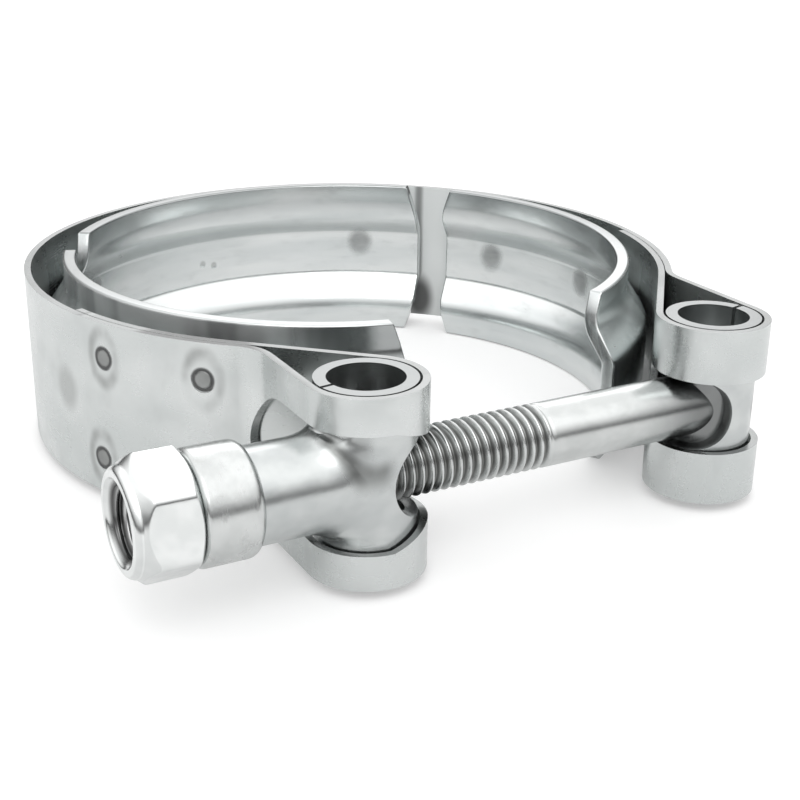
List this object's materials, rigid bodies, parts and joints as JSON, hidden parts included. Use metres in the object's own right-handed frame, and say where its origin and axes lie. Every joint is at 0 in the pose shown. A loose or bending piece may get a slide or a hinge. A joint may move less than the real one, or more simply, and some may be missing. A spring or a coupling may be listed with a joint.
{
  "type": "v band clamp",
  "caption": "Open V band clamp with V retainer segments spot welded inside a looped strap, closed by a T-bolt through two tube trunnions, with a spacer sleeve and a locking nut.",
  "frame": {"origin": "centre of the rear and right retainers at the middle of the band's width", "axes": "+Z along the ring axis, upwards as it lies; +X along the T-bolt from the nut towards its head; +Y from the bolt towards the far side of the ring"},
  "size_m": [0.096, 0.0991, 0.0254],
  "materials": {
    "strap_steel": "satin rolled stainless strip",
    "retainer_steel": "bright pressed stainless sheet",
    "trunnion_steel": "satin rolled stainless tube",
    "bolt_steel": "bright turned stainless",
    "sleeve_steel": "satin turned steel",
    "nut_steel": "pale plated steel"
  },
  "bodies": {
    "clamp": {"band": "strap_steel", "rear_retainer": "retainer_steel", "right_retainer": "retainer_steel", "left_retainer": "retainer_steel", "left_trunnion": "trunnion_steel", "right_trunnion": "trunnion_steel", "t_bolt": "bolt_steel"},
    "sleeve": {"sleeve": "sleeve_steel"},
    "nut": {"nut": "nut_steel"}
  },
  "joints": [
    {"name": "sleeve_slide", "type": "slide", "parent": "clamp", "child": "sleeve", "axis": [-1, 0, 0], "range_m": [0, 0.003]},
    {"name": "nut_turn", "type": "hinge", "parent": "sleeve", "child": "nut", "pos_m": [-0.0465, -0.047, 0], "axis": [-1, 0, 0], "range_deg": [0, 864]}
  ],
  "couplings": [
    {"joint": "sleeve_slide", "follows": "nut_turn", "m_per_rad": 0.00019894}
  ]
}
